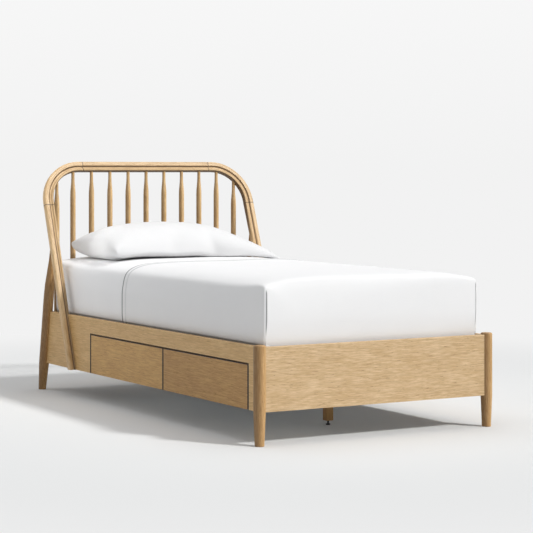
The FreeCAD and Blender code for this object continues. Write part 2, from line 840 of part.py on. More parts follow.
def support_pieces():
    """The slats and what they rest on."""
    pieces = {"slats": slats(), "centre_beam": centre_beam()}
    pieces["slat_cleat_left"] = cleat(-1)
    pieces["slat_cleat_right"] = cleat(1)
    for name in leg_names:
        pieces["support_leg_" + name] = support_leg(name)
        pieces["levelling_glide_" + name] = levelling_glide(name)
    return pieces


def drawer_pieces():
    """Both drawers, their runners and the partitions that carry them."""
    pieces = {"drawer_partition_" + name: partition(name) for name in ("foot", "middle", "head")}
    for name in drawer_names:
        label = name + "_drawer_"
        pieces[label + "front"] = drawer_front(name)
        pieces[label + "side_foot"] = drawer_side(name, "foot")
        pieces[label + "side_head"] = drawer_side(name, "head")
        pieces[label + "back"] = drawer_back(name)
        pieces[label + "floor"] = drawer_floor(name)
        for member in ("outer", "middle", "inner"):
            pieces[label + "runners_" + member] = runner_pair(name, member)
    return pieces


def bedding_pieces():
    """The mattress, its two sheets and the pillow."""
    return {"mattress": mattress(), "fitted_sheet": fitted_sheet(),
            "top_sheet": top_sheet(), "pillow": pillow()}


def main():
    os.makedirs("parts", exist_ok=True)
    pieces = {}
    for group in (frame_pieces, headboard_pieces, support_pieces, drawer_pieces, bedding_pieces):
        pieces.update(group())
    for name, shape in pieces.items():
        shape.exportStep("parts/" + name + ".step")
        box = shape.BoundBox
        print(name, len(shape.Solids), "valid" if shape.isValid() else "INVALID",
              round(shape.Volume), "mm3",
              [round(v, 1) for v in (box.XMin, box.XMax, box.YMin, box.YMax, box.ZMin, box.ZMax)])


main()
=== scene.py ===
import json
import math
import random

import bpy
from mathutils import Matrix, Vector, noise


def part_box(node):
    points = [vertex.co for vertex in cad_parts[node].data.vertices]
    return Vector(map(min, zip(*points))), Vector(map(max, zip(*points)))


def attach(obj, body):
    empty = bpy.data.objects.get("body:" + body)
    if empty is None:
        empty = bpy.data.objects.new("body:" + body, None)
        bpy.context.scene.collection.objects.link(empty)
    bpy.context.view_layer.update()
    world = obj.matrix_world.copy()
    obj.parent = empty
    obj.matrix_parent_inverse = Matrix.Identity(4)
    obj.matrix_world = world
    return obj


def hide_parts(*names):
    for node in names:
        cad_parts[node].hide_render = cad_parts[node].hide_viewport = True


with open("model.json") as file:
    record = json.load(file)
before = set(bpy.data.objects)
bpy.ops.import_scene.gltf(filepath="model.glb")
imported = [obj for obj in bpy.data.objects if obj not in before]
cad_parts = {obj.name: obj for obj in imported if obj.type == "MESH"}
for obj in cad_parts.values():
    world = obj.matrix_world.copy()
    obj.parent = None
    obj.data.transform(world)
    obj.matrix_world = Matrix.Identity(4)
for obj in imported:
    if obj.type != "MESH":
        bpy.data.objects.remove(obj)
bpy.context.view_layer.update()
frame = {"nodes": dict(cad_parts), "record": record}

nodes = frame["nodes"]
bpy.ops.object.select_all(action="DESELECT")

# Places taken from the frame, in metres

mattress_low, mattress_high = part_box("mattress")
pillow_low, pillow_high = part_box("pillow")
rail_low, rail_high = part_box("side_rail_right")
hoop_low, hoop_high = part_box("headboard_top_rail")
hem_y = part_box("top_sheet")[1][1]

# The headboard hoop's own sizes
hoop_lean = math.radians(20.5)
hoop_width = 0.046
hoop_bend = 0.174
hoop_half_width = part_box("headboard_leg_right")[1][0] - hoop_width / 2
hoop_middle_y = (hoop_low[1] + hoop_high[1]) / 2
hoop_middle_z = (hoop_low[2] + hoop_high[2]) / 2
hoop_top_seam = hoop_high[0]
hoop_leg_seam = 0.187
outer_bead = 0.020
groove_wall = hoop_width / 2 - outer_bead

# The drawers' opening in the left rail, whose edges get a painted shadow, and the rails' top inner edge,
# which gets a painted shadow too
front_clearance = 0.004
opening_ends = (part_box("foot_drawer_front")[0][1] - front_clearance,
                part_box("head_drawer_front")[1][1] + front_clearance)
opening_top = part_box("foot_drawer_front")[1][2] + front_clearance
gap_edge = 0.0018
gap_end = 0.0036
gap_skin = (0.003, 0.005)
crest_skin = (0.0012, 0.0008)
crest_back = (0.004, 0.006)

# Colours as they show on a screen, those of wood as light, middle and dark
oak_shades = ((224, 196, 156), (195, 162, 117), (132, 96, 56))
hoop_shades = ((226, 196, 153), (194, 160, 113), (116, 82, 44))
turned_shades = ((246, 212, 160), (212, 170, 112), (112, 76, 36))
post_shades = ((224, 183, 126), (190, 146, 90), (106, 70, 32))
rear_shades = ((206, 166, 110), (172, 130, 78), (96, 64, 30))
rail_shades = ((217, 181, 126), (195, 156, 100), (130, 96, 52))
head_front_shades = ((207, 165, 98), (181, 137, 74), (116, 78, 36))
foot_front_shades = ((190, 148, 84), (164, 120, 61), (102, 68, 30))
support_shades = ((182, 142, 88), (150, 108, 56), (100, 68, 34))
pale_shades = ((232, 228, 221), (222, 216, 206), (196, 186, 170))
# Colour of the painted shade on the left side of turned pieces
painted_left_shade = (80, 50, 18)
# Colour of the painted shadow in the gaps round the drawers and behind the rails' top
painted_gap_shadow = (20, 12, 7)
# Colour of the painted shade in the hoop's groove, on its inner edge and low on its legs
hoop_painted_shade = (72, 48, 22)
glue_shade = (60, 40, 22)
black_plastic = (30, 30, 30)
black_steel = (40, 40, 40)
bright_steel = (170, 172, 175)

# The figure of wood and weave: how often each layer varies in a metre, along the grain and across
ring_drift = (1.6, 7)
ring_wobble = (7, 20)
oak_dashes = (22, 360)
oak_fibres = (9, 520)
oak_mottle = (9, 26)
oak_flecks = (36, 420)
pale_streaks = (2, 70)
pale_fibres = (12, 500)
cotton_slubs = (30, 900)

# Oak's rings, in metres, and the shares of a ring where its early wood is full, fades and ends
ring_spacing = 0.0065
pith_depth = 0.09
drift_reach = 0.07
wobble_reach = 0.007
early_full = 0.12
early_end = (0.25, 0.7)

# How strongly the layers of oak's figure show, and between which values of their noise
figure_window = (0.36, 0.64)
dash_share = 0.75
ring_strength = 0.35
fibre_window = (0.46, 0.72)
fibre_strength = 0.38
fleck_window = (0.6, 0.72)
late_flecks = 0.35
fleck_strength = 0.75
fleck_relief = 0.8
early_relief = 0.15
dash_relief = 0.25
relief_depth = 0.0004
relief_strength = 0.5
oak_roughness = 0.5
fleck_roughness = 0.2
fibre_roughness = 0.18
oak_coat = {"Coat_Weight": 0.04, "Coat_Roughness": 0.4}

# How far a piece's figure and tone may differ from the next one's
figure_shifts = (0, 9)
hoop_tones = (0.98, 1.02)
board_tones = (0.985, 1.015)

# Plain wood: the values of noise between which its streaks and fibres show, and how strongly
streak_window = (0.36, 0.66)
pale_fibre_window = (0.5, 0.75)
pale_fibre_strength = 0.3
pale_roughness = 0.62
pale_fibre_roughness = 0.2
pale_relief_depth = 0.0003
soft_relief_strength = 0.35

# Metal and plastic: how often their scuffs vary in a metre, how dark and how rough they are
scuffs_often = 60.0
scuff_shade = 0.9
scuff_roughness = 0.16
scuff_depth = 0.0001
scuff_relief_strength = 0.3
black_roughness = 0.5
steel_roughness = 0.35

# Painted shade on a turned piece's left side, between two shares of its radius
painted_shade_sides = (-0.9, 0.6)
painted_shade_strength = 0.62

# Painted shade on the hoop's groove wall, on its inner edge and low on its legs, and its glue lines, in
# metres
shaded_wall_width = 0.0075
shaded_wall_edge = 0.002
shaded_wall_depth = (0.002, 0.005)
inner_shade_edge = (0.001, 0.004)
glue_width = 0.0036
shaded_wall_strength = 0.85
inner_shade_strength = 0.9
glue_strength = 0.85
low_shade_heights = (0.40, 0.62)
low_shade_sides = (-0.006, 0.002)
low_shade_strength = 0.55

# Cotton: its whites, its weave in radians a metre, and how much darker its parts are
pillow_white = 224
top_sheet_white = 240
fitted_sheet_white = 245
ticking_white = 238
weave_often = 4200.0
soft_often = 7.0
soft_dip = (4, 4, 3)
slub_dip = (14, 14, 13)
slub_window = (0.55, 0.8)
slub_strength = 0.25
# How much darker the painted shade lines of the hem and mitres are
painted_line_dip = (135, 135, 131)
cotton_roughness = 0.84
soft_roughness = 0.1
weave_relief = 0.6
slub_relief = 0.4
weave_depth = 0.0002
cotton_sheen = {"Sheen_Weight": 0.12, "Sheen_Roughness": 0.5, "Specular_IOR_Level": 0.3}

# The top sheet's hem, its stitches and its mitred corners, with painted shade lines along them: in metres,
# stitches in radians a metre
hem_width = 0.030
hem_rise = 0.003
hem_step = 0.003
hem_line = 0.010
stitch_line = 0.006
stitch_often = 1100.0
stitch_window = (-0.4, 0.4)
between_stitches = 0.3
stitch_strength = 0.45
stitch_fade = (0.06, 0.02)
faded_stitches = 0.4
hem_line_strength = 0.95
mitre_strength = 0.9
mitre_step = 0.002
mitre_x = mattress_high[0] - 0.006
mitre_rise = 0.0015
mitre_line = 0.004
mitre_top = (0.055, 0.040)
mitre_from = 0.01
on_foot_face = 0.002

# How the mattress's top edge rolls over: inwards from the side, and down from the crown
roll = ((0.0, 0.122), (0.003, 0.100), (0.006, 0.083), (0.010, 0.067), (0.015, 0.052), (0.021, 0.043),
        (0.029, 0.035), (0.040, 0.028), (0.057, 0.020), (0.080, 0.013), (0.110, 0.008), (0.150, 0.004),
        (0.200, 0.002), (0.240, 0.0))
tight_roll = ((0.0, 0.040), (0.003, 0.028), (0.006, 0.024), (0.010, 0.022), (0.015, 0.0205),
              (0.021, 0.019), (0.029, 0.017), (0.040, 0.015), (0.057, 0.012), (0.080, 0.009),
              (0.110, 0.006), (0.150, 0.003), (0.200, 0.001), (0.240, 0.0))
foot_roll = ((0.0, 0.120), (0.003, 0.080), (0.006, 0.060), (0.010, 0.041), (0.015, 0.026),
             (0.020, 0.015), (0.025, 0.009), (0.032, 0.005), (0.045, 0.0025), (0.070, 0.001), (0.110, 0.0))
corner_roll = ((0.0, 0.024), (0.003, 0.016), (0.006, 0.013), (0.010, 0.011), (0.015, 0.009),
               (0.020, 0.0075), (0.025, 0.0065), (0.032, 0.005), (0.045, 0.0035), (0.070, 0.0015),
               (0.110, 0.0))
head_roll = ((0.0, 0.007), (0.002, 0.003), (0.005, 0.0012), (0.012, 0.0004), (0.030, 0.0))
roll_overhang = 0.003
loose_from_foot = 0.25
loose_from_head = 0.35
tight_left_share = 0.14

# Where the sides are drawn in behind the rails: up from tuck_z, and inwards
tuck_z = rail_high[2] + 0.0015
side_bow = ((-0.02, 0.020), (0.0, 0.019), (0.0015, 0.004), (0.01, 0.002), (0.03, 0.0))
end_bow = ((-0.02, 0.009), (0.0, 0.008), (0.02, 0.005), (0.05, 0.003), (0.09, 0.0))

# The rows that the bed's block is cut into: heights above tuck_z, and spacings
tuck_rows = (-0.012, -0.001, 0.0, 0.0015, 0.003, 0.012, 0.035)
rows_from = 0.06
rows_below_roll = 0.02
side_row = 0.03
top_row = 0.05

# The rest of the bedding's sizes
corner_round = 0.009
top_dents = 0.003
side_dents = 0.0012
dents_full = 0.05
wide_dents_often = (5, 4)
fine_dents_often = (11, 9)
fine_dents_share = 0.4
bulges_often = (3, 3, 5)
fitted_gap = 0.0016
top_gap = 0.0031
sheet_thickness = 0.0009
hem_bottom = mattress_low[2] + 0.022
closeness = 0.001
top_closeness = 0.0005

# The pillow's case laid flat, and how it lies: heights in metres, places from -1 at the left to 1
case_length = 0.925
case_width = 0.555
case_half_thickness = 0.004
case_weave = 0.019
filling_moments = 25
pillow_seat = 0.0005
seam_height = 0.030
seam_left_rise = 0.018
seam_back_rise = 0.012
seam_right_drop = 0.026
pillow_fullness = ((-1.0, 1.18), (-0.6, 1.09), (-0.3, 1.02), (0.0, 0.95), (0.3, 0.90), (0.5, 0.82),
                   (0.7, 0.70), (0.85, 0.60), (1.0, 0.60))
back_fullness = 0.16
top_ripple = 0.03
top_power = 0.9
ripples_often = (9, 1.5, 2.2)
left_underside = (-0.9, 0.4)
right_underside = (0.1, 0.3)
end_press = 1.5
middle_press_less = 0.2
right_press_more = 0.8
end_flatness = 0.45
middle_rounder = 0.45
crease_height = 0.004
crease_middle = 0.62
crease_width = 0.08
corner_pull = 0.014
corner_sharpness = 6
underside_touch = 0.002


class Tone:
    """A number that varies over a surface, as a socket of a finish's nodes."""

    def __init__(self, maker, socket):
        self.maker = maker
        self.socket = socket

    def __add__(self, other):
        return self.maker.math("ADD", self, other)

    def __sub__(self, other):
        return self.maker.math("SUBTRACT", self, other)

    def __mul__(self, other):
        return self.maker.math("MULTIPLY", self, other)

    def __truediv__(self, other):
        return self.maker.math("DIVIDE", self, other)

    def __pow__(self, other):
        return self.maker.math("POWER", self, other)

    def __radd__(self, other):
        return self.maker.math("ADD", other, self)

    def __rsub__(self, other):
        return self.maker.math("SUBTRACT", other, self)

    def __rmul__(self, other):
        return self.maker.math("MULTIPLY", other, self)


class Nodes:
    """The nodes of a material or of the world, and short ways to add them."""

    def __init__(self, tree):
        self.tree = tree
        self.tree.nodes.clear()

    def join(self, target, value):
        """Sets a socket to a value, or links another socket to it."""
        if isinstance(value, Tone):
            value = value.socket
        if isinstance(value, bpy.types.NodeSocket):
            self.tree.links.new(value, target)
        else:
            target.default_value = value

    def node(self, kind, settings=None, sockets=None, out=0):
        """Adds a node with its settings and sockets, and returns one of its outputs."""
        made = self.tree.nodes.new("ShaderNode" + kind)
        for key, value in (settings or {}).items():
            setattr(made, key, value)
        for key, value in (sockets or {}).items():
            self.join(made.inputs[key], value)
        return made.outputs[out]

    def math(self, operation, a, b=0.0, clamp=False):
        settings = {"operation": operation, "use_clamp": clamp}
        return Tone(self, self.node("Math", settings, {0: a, 1: b}))

    def smooth(self, value, low, high, to_low=0.0, to_high=1.0):
        """A soft step of value between low and high."""
        settings = {"interpolation_type": "SMOOTHSTEP"}
        sockets = {"Value": value, "From Min": low, "From Max": high, "To Min": to_low, "To Max": to_high}
        return Tone(self, self.node("MapRange", settings, sockets))

    def noise(self, place, scale=1.0, detail=2.0, roughness=0.5):
        sockets = {"Vector": place, "Scale": scale, "Detail": detail, "Roughness": roughness}
        return Tone(self, self.node("TexNoise", None, sockets))

    def mix(self, factor, a, b):
        """Mixes two colours."""
        return self.node("Mix", {"data_type": "RGBA"}, {0: factor, 6: a, 7: b}, out=2)

    def split(self, place):
        """The three parts of a place."""
        parts = self.node("SeparateXYZ", None, {0: place}).node.outputs
        return [Tone(self, part) for part in parts]


class Finish(Nodes):
    """A material and the nodes that make it."""

    def __init__(self, name, **constants):
        self.material = bpy.data.materials.new(name)
        self.material.use_nodes = True
        super().__init__(self.material.node_tree)
        self.shader = self.tree.nodes.new("ShaderNodeBsdfPrincipled")
        self.output = self.tree.nodes.new("ShaderNodeOutputMaterial")
        self.tree.links.new(self.shader.outputs[0], self.output.inputs[0])
        for socket, value in constants.items():
            self.shader.inputs[socket.replace("_", " ")].default_value = value

    def place(self):
        """Object coordinates."""
        return self.node("TexCoord", out="Object")

    def layer(self, along, across, depth, often, detail=2.0, roughness=0.5):
        """Noise that varies so often in a metre along the grain, and so often across it."""
        sockets = {0: along * often[0], 1: across * often[1], 2: depth * often[1]}
        return self.noise(self.node("CombineXYZ", None, sockets), 1.0, detail, roughness)

    def bump(self, height, distance, strength):
        sockets = {"Height": height, "Distance": distance, "Strength": strength}
        self.join(self.shader.inputs["Normal"], self.node("Bump", None, sockets))

    def paint(self, base):
        self.join(self.shader.inputs["Base Color"], base)

    def roughen(self, roughness):
        self.join(self.shader.inputs["Roughness"], roughness)


def colour(r, g, b):
    """A colour written as it shows on a screen, from 0 to 255, for a socket."""
    linear = [(v / 255 / 12.92 if v < 10.3 else ((v / 255 + 0.055) / 1.055) ** 2.4) for v in (r, g, b)]
    return (*linear, 1.0)


# Finishes


def grain_place(finish, grain, shift):
    """Object coordinates turned so that the wood's grain runs along the first of them, which is
    shifted so that no two pieces have the same figure."""
    x, y, z = finish.split(finish.place())
    along, across, depth = {"x": (x, y, z), "y": (y, x, z), "z": (z, x, y)}[grain]
    return along + shift, across, depth


def hoop_place(finish, piece):
    """Coordinates that run along the hoop's bent wood, across it and through it."""
    x, y, z = finish.split(finish.place())
    up, back = z - hoop_middle_z, y - hoop_middle_y
    drop = 0 - up * math.cos(hoop_lean) - back * math.sin(hoop_lean)
    out = up * math.sin(hoop_lean) - back * math.cos(hoop_lean)
    if piece == "top_rail":
        return x, drop, out
    if piece == "leg":
        return drop, x, out
    side = finish.math("ABSOLUTE", x) - (hoop_half_width - hoop_bend)
    rise = hoop_bend - drop
    return finish.math("ARCTAN2", side, rise) * hoop_bend, (side * side + rise * rise) ** 0.5, out


def seam_line(finish, place, at, width):
    """A thin line, 1 on the line and 0 away from it."""
    return 1 - finish.smooth(finish.math("ABSOLUTE", place - at), 0.0, width)


def inside(finish, value, low, high, edge=0.0004):
    """1 where a value lies between two others, 0 elsewhere."""
    return finish.smooth(value, low, low + edge) - finish.smooth(value, high - edge, high)


def oak_figure(finish, along, across, depth, tone, shades):
    """Paints oak from the coordinates along, across and into the board, in metres: growth
    rings, short dashes of grain, long fibres, and the dark pores of the early wood. Returns
    its colour."""
    drift = finish.layer(along, across, depth, ring_drift) - 0.5
    wobble = finish.layer(along, across, depth, ring_wobble) - 0.5
    aside = across + drift * drift_reach + wobble * wobble_reach
    deep_in = depth + pith_depth
    ring = finish.math("FRACT", (aside * aside + deep_in * deep_in) ** 0.5 / ring_spacing)
    early = finish.smooth(ring, 0.0, early_full) - finish.smooth(ring, *early_end)
    dashes = finish.layer(along, across, depth, oak_dashes, 3.0, 0.65)
    fibres = finish.layer(along, across, depth, oak_fibres, 3.0, 0.65)
    mottle = finish.layer(along, across, depth, oak_mottle, 3.0, 0.55)
    flecks = finish.layer(along, across, depth, oak_flecks, 2.0, 0.6)
    fleck = finish.smooth(flecks, *fleck_window) * (late_flecks + early * (1 - late_flecks))
    light, middle, deep = (colour(*[v * tone for v in shade]) for shade in shades)
    figure = dashes * dash_share + mottle * (1 - dash_share)
    base = finish.mix(finish.smooth(figure, *figure_window), light, middle)
    base = finish.mix(early * ring_strength, base, middle)
    base = finish.mix(finish.smooth(fibres, *fibre_window) * fibre_strength, base, deep)
    base = finish.mix(fleck * fleck_strength, base, deep)
    finish.roughen(oak_roughness + fleck * fleck_roughness + (fibres - 0.5) * fibre_roughness)
    relief = 0 - fleck * fleck_relief - early * early_relief + dashes * dash_relief
    finish.bump(relief, relief_depth, relief_strength)
    return base


def oak_board(name, grain, shift, tone, shades, dark=None, round_piece=None):
    """A finish for a straight piece of oak, with its grain along x, y or z. dark(finish, x, y, z) gives the
    narrow edges painted with a dark shadow colour, a painted shadow in the gaps between two fronts.
    round_piece is the middle and radius of a turned piece, whose left side gets a painted shade."""
    finish = Finish(name, **oak_coat)
    base = oak_figure(finish, *grain_place(finish, grain, shift), tone, shades)
    x, y, z = finish.split(finish.place())
    if round_piece:
        middle, radius = round_piece
        # Painted shade: the left side of a turned piece is darkened as the side turned away from the light
        left_shade = 1 - finish.smooth(x, middle + radius * painted_shade_sides[0], middle + radius * painted_shade_sides[1])
        base = finish.mix(left_shade * painted_shade_strength, base, colour(*painted_left_shade))
    # Painted shadow on the edges beside the gaps
    if dark:
        base = finish.mix(dark(finish, x, y, z), base, colour(*painted_gap_shadow))
    finish.paint(base)
    return finish.material


def oak_hoop(name, piece, shift, tone):
    """A finish for a length of the hoop, with the dark glue lines at its ends and a painted shade on
    its groove's outer wall and its inner edge, and on the legs low down where the mattress shades them."""
    finish = Finish(name, **oak_coat)
    along, across, out = hoop_place(finish, piece)
    base = oak_figure(finish, along + shift, across, out, tone, hoop_shades)
    x, y, z = finish.split(finish.place())
    glue = seam_line(finish, finish.math("ABSOLUTE", x), hoop_top_seam, glue_width)
    if piece != "top_rail":
        drop = (hoop_middle_z - z) * math.cos(hoop_lean) + (hoop_middle_y - y) * math.sin(hoop_lean)
        glue = finish.math("MAXIMUM", glue, seam_line(finish, drop, hoop_leg_seam, glue_width))
    outward = 0 - across
    if piece == "leg":
        outward = finish.math("ABSOLUTE", across) - hoop_half_width
    if piece == "corner":
        outward = across - hoop_bend
    # Painted shade on the groove's outer wall, on the inner edge and, on the legs, low down beside the
    # mattress
    wall = inside(finish, outward, groove_wall - shaded_wall_width, groove_wall, shaded_wall_edge)
    wall = wall * finish.smooth(finish.math("ABSOLUTE", out), *shaded_wall_depth)
    inner = 1 - finish.smooth(outward, inner_shade_edge[0] - hoop_width / 2, inner_shade_edge[1] - hoop_width / 2)
    if piece == "leg":
        low = 1 - finish.smooth(z, *low_shade_heights)
        low = low * low_shade_strength * (1 - finish.smooth(outward, *low_shade_sides))
        inner = finish.math("MAXIMUM", inner, low)
    painted_hoop_shade_mask = finish.math("MAXIMUM", wall * shaded_wall_strength, inner * inner_shade_strength)
    base = finish.mix(painted_hoop_shade_mask, base, colour(*hoop_painted_shade))
    finish.paint(finish.mix(glue * glue_strength, base, colour(*glue_shade)))
    return finish.material


def plain_wood(name, grain, shift, shades):
    """Plain unfinished wood for what is hidden: soft streaks and a little figure."""
    finish = Finish(name)
    place = grain_place(finish, grain, shift)
    streaks = finish.layer(*place, pale_streaks, 3.0, 0.6)
    fibres = finish.layer(*place, pale_fibres)
    light, middle, deep = (colour(*shade) for shade in shades)
    base = finish.mix(finish.smooth(streaks, *streak_window), light, middle)
    darker = finish.smooth(fibres, *pale_fibre_window) * pale_fibre_strength
    finish.paint(finish.mix(darker, base, deep))
    finish.roughen(pale_roughness + (fibres - 0.5) * pale_fibre_roughness)
    finish.bump(fibres, pale_relief_depth, soft_relief_strength)
    return finish.material


def dipped(white, dip):
    """A white that is darker by a dip in its red, green and blue."""
    return colour(*[white - part for part in dip])


def cotton(name, white, shade_lines=None):
    """White woven cotton, with painted shade lines along its seams and folds given by a function of finish,
    x, y and z.
    """
    finish = Finish(name, **cotton_sheen)
    place = finish.place()
    x, y, z = finish.split(place)
    weave = finish.math("SINE", (x + z) * weave_often) * finish.math("SINE", (y + z) * weave_often)
    slub = finish.layer(x, y, z, cotton_slubs)
    soft = finish.noise(place, soft_often, 3.0)
    base = finish.mix(soft, dipped(white, soft_dip), colour(white, white, white))
    slubs = finish.smooth(slub, *slub_window) * slub_strength
    base = finish.mix(slubs, base, dipped(white, slub_dip))
    # Painted shade lines where the sheet folds and steps
    if shade_lines:
        base = finish.mix(shade_lines(finish, x, y, z), base, dipped(white, painted_line_dip))
    finish.paint(base)
    finish.roughen(cotton_roughness + soft * soft_roughness)
    finish.bump(weave * weave_relief + slub * slub_relief, weave_depth, soft_relief_strength)
    return finish.material


def hem_shade_lines(finish, x, y, z):
    """Painted shade lines of the top sheet's hem: along its folded edge, along its stitched step with the
    stitches' own dashes, and down the mitres at the foot.
    """
    edge = seam_line(finish, y, hem_y - hem_step, hem_line)
    row = seam_line(finish, y, hem_y - hem_width - hem_step / 2, stitch_line)
    stitches = finish.smooth(finish.math("SINE", (x + z) * stitch_often), *stitch_window)
    fade = [mattress_high[2] - drop for drop in stitch_fade]
    faded = finish.smooth(z, *fade, faded_stitches, 1.0)
    row = row * ((between_stitches + stitches * stitch_strength) * faded)
    corner = seam_line(finish, finish.math("ABSOLUTE", x), mitre_x - mitre_step / 2, mitre_line)
    foot = 1 - finish.smooth(y, mattress_low[1] - on_foot_face, mattress_low[1] + on_foot_face)
    below = 1 - finish.smooth(z, *[mattress_high[2] - drop for drop in mitre_top])
    mitre = corner * foot * below * mitre_strength
    return finish.math("ADD", edge * hem_line_strength + row, mitre, clamp=True)


def scuffed(name, shade, rough, metal=0.0):
    """A metal or plastic with fine scuffs."""
    finish = Finish(name, Metallic=metal)
    scuffs = finish.noise(finish.place(), scuffs_often, 4.0)
    finish.paint(finish.mix(scuffs, colour(*[v * scuff_shade for v in shade]), colour(*shade)))
    finish.roughen(rough - scuff_roughness / 2 + scuffs * scuff_roughness)
    finish.bump(scuffs, scuff_depth, scuff_relief_strength)
    return finish.material


def near_face(finish, x):
    """1 in the skin of the left rail and its drawer fronts, 0 further in."""
    return 1 - finish.smooth(x, *[depth - rail_high[0] for depth in gap_skin])


def rail_painted_shadow(finish, x, y, z):
    """Painted shadow on the rim of the rail's drawer opening, and on the top edge behind which the mattress
    goes down.
    """
    rim = inside(finish, y, opening_ends[0] - gap_end, opening_ends[1] + gap_end)
    rim = rim * inside(finish, z, 0.0, opening_top + gap_edge) * near_face(finish, x)
    return finish.math("MAXIMUM", rim, rail_top_painted_shadow(finish, x, y, z))


def rail_top_painted_shadow(finish, x, y, z):
    """Painted shadow on the inner edge of a side rail's top, where the mattress shades it."""
    crest = finish.smooth(z, *[rail_high[2] - depth for depth in crest_skin])
    back = [rail_low[0] + depth for depth in crest_back]
    return crest * (1 - finish.smooth(finish.math("ABSOLUTE", x), *back))


def front_painted_shadow(low, high):
    """Painted shadow on the outer edges of a drawer front, beside the gaps round it."""
    def edges(finish, x, y, z):
        face = inside(finish, y, low[1] + gap_end, high[1] - gap_end)
        return (1 - face * inside(finish, z, 0.0, high[2] - gap_edge)) * near_face(finish, x)
    return edges


def finish_for(name, slot):
    """The finish of one node, from its slot in the record."""
    shift = random.uniform(*figure_shifts)
    title = slot.replace("_", " ") + " of the " + name.replace("_", " ")
    grain = "x" if name in across_bed else "y" if name in along_bed else "z"
    if slot == "oak_bent":
        piece = "top_rail" if "top_rail" in name else "corner" if "corner" in name else "leg"
        return oak_hoop(title, piece, shift, random.uniform(*hoop_tones))
    if slot in ("oak_turned", "oak_board"):
        shades = shades_of.get(name, turned_shades if slot == "oak_turned" else oak_shades)
        low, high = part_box(name)
        round_piece = ((low[0] + high[0]) / 2, (high[0] - low[0]) / 2) if slot == "oak_turned" else None
        tone = random.uniform(*board_tones)
        return oak_board(title, grain, shift, tone, shades, painted_shadow_edges.get(name), round_piece)
    if name.startswith("support_leg"):
        return plain_wood(title, grain, shift, support_shades)
    if slot in ("support_wood", "drawer_wood"):
        return plain_wood(title, grain, shift, pale_shades)
    if slot == "glide_plastic":
        return scuffed(title, black_plastic, black_roughness)
    if slot == "bracket_steel":
        return scuffed(title, black_steel, black_roughness)
    if slot in ("runner_steel", "bolt_steel"):
        return scuffed(title, bright_steel, steel_roughness, 1.0)
    return cotton(title, top_sheet_white)


across_bed = ["foot_panel", "head_rail", "slats"]
along_bed = ["side_rail_left", "side_rail_right", "centre_beam", "slat_cleat_left", "slat_cleat_right"]
shades_of = {"foot_drawer_front": foot_front_shades, "head_drawer_front": head_front_shades}
painted_shadow_edges = {"side_rail_left": rail_painted_shadow, "side_rail_right": rail_top_painted_shadow}
for drawer in ("foot_drawer", "head_drawer"):
    along_bed += [drawer + "_front", drawer + "_back", drawer + "_floor"]
    painted_shadow_edges[drawer + "_front"] = front_painted_shadow(*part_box(drawer + "_front"))
for side in ("left", "right"):
    shades_of["foot_post_" + side] = post_shades
    shades_of["rear_leg_" + side] = rear_shades
    shades_of["side_rail_" + side] = rail_shades
random.seed(4)
for part in frame["record"]["subparts"]:
    worn = nodes[part["node"]].data.materials
    worn.clear()
    worn.append(finish_for(part["node"], part["material_slot"]))

# Bedding


def only(thing):
    """Selects one object alone."""
    bpy.ops.object.select_all(action="DESELECT")
    thing.select_set(True)
    bpy.context.view_layer.objects.active = thing


def block(name, low, high):
    """A plain block between two corners, as its own mesh at the origin."""
    middle = [(a + b) / 2 for a, b in zip(low, high)]
    bpy.ops.mesh.primitive_cube_add(size=1, location=middle)
    thing = bpy.context.object
    thing.name = name
    thing.scale = [b - a for a, b in zip(low, high)]
    only(thing)
    bpy.ops.object.transform_apply(location=True, rotation=True, scale=True)
    return thing


def round_corners(thing):
    """Rounds a block's four upright edges."""
    only(thing)
    bpy.ops.object.mode_set(mode="EDIT")
    bpy.ops.mesh.select_mode(type="EDGE")
    bpy.ops.mesh.select_all(action="DESELECT")
    bpy.ops.object.mode_set(mode="OBJECT")
    points = thing.data.vertices
    for edge in thing.data.edges:
        a, b = (points[end].co for end in edge.vertices)
        edge.select = abs(a.x - b.x) < closeness and abs(a.y - b.y) < closeness
    bpy.ops.object.mode_set(mode="EDIT")
    bpy.ops.mesh.bevel(offset=corner_round, segments=2, profile=0.5, affect="EDGES", clamp_overlap=False)
    bpy.ops.object.mode_set(mode="OBJECT")


def cut_across(thing, axis, places):
    """Cuts a mesh at each of some places along an axis."""
    way = [1.0 if n == axis else 0.0 for n in range(3)]
    only(thing)
    bpy.ops.object.mode_set(mode="EDIT")
    for place in places:
        bpy.ops.mesh.select_all(action="SELECT")
        bpy.ops.mesh.bisect(plane_co=[place * v for v in way], plane_no=way)
    bpy.ops.object.mode_set(mode="OBJECT")


def steps_between(start, end, spacing):
    """Places from start to end, evenly apart by about the spacing."""
    count = max(1, round((end - start) / spacing))
    return [start + (end - start) * n / count for n in range(count + 1)]


def bed_block(name, low, high):
    """A block of the mattress's plan, tight at its upright corners, and cut into rows that are
    close together where its top edge will roll over."""
    thing = block(name, low, high)
    round_corners(thing)
    for axis, table in ((0, roll), (1, foot_roll)):
        insets = [inset for inset, drop in table if inset > 0]
        rows = [low[axis] + inset for inset in insets] + [high[axis] - inset for inset in insets]
        rows += steps_between(low[axis] + insets[-1], high[axis] - insets[-1], top_row)[1:-1]
        cut_across(thing, axis, rows)
    cut_across(thing, 2, [tuck_z + rise for rise in tuck_rows])
    cut_across(thing, 2, steps_between(tuck_z + rows_from, high[2] - roll[0][1] - rows_below_roll, side_row))
    return thing


def between(table, at):
    """Reads a value from a table of pairs."""
    for (a, p), (b, q) in zip(table, table[1:]):
        if at <= b:
            return p + (q - p) * (at - a) / (b - a)
    return table[-1][1]


def eased(part):
    """A slow start and a slow end between 0 and 1."""
    part = min(1.0, max(0.0, part))
    return part * part * (3 - 2 * part)


def blend(loose, table, tight_table, at):
    """A value between two tables' values, the first one's where loose is 1."""
    return between(table, at) * loose + between(tight_table, at) * (1 - loose)


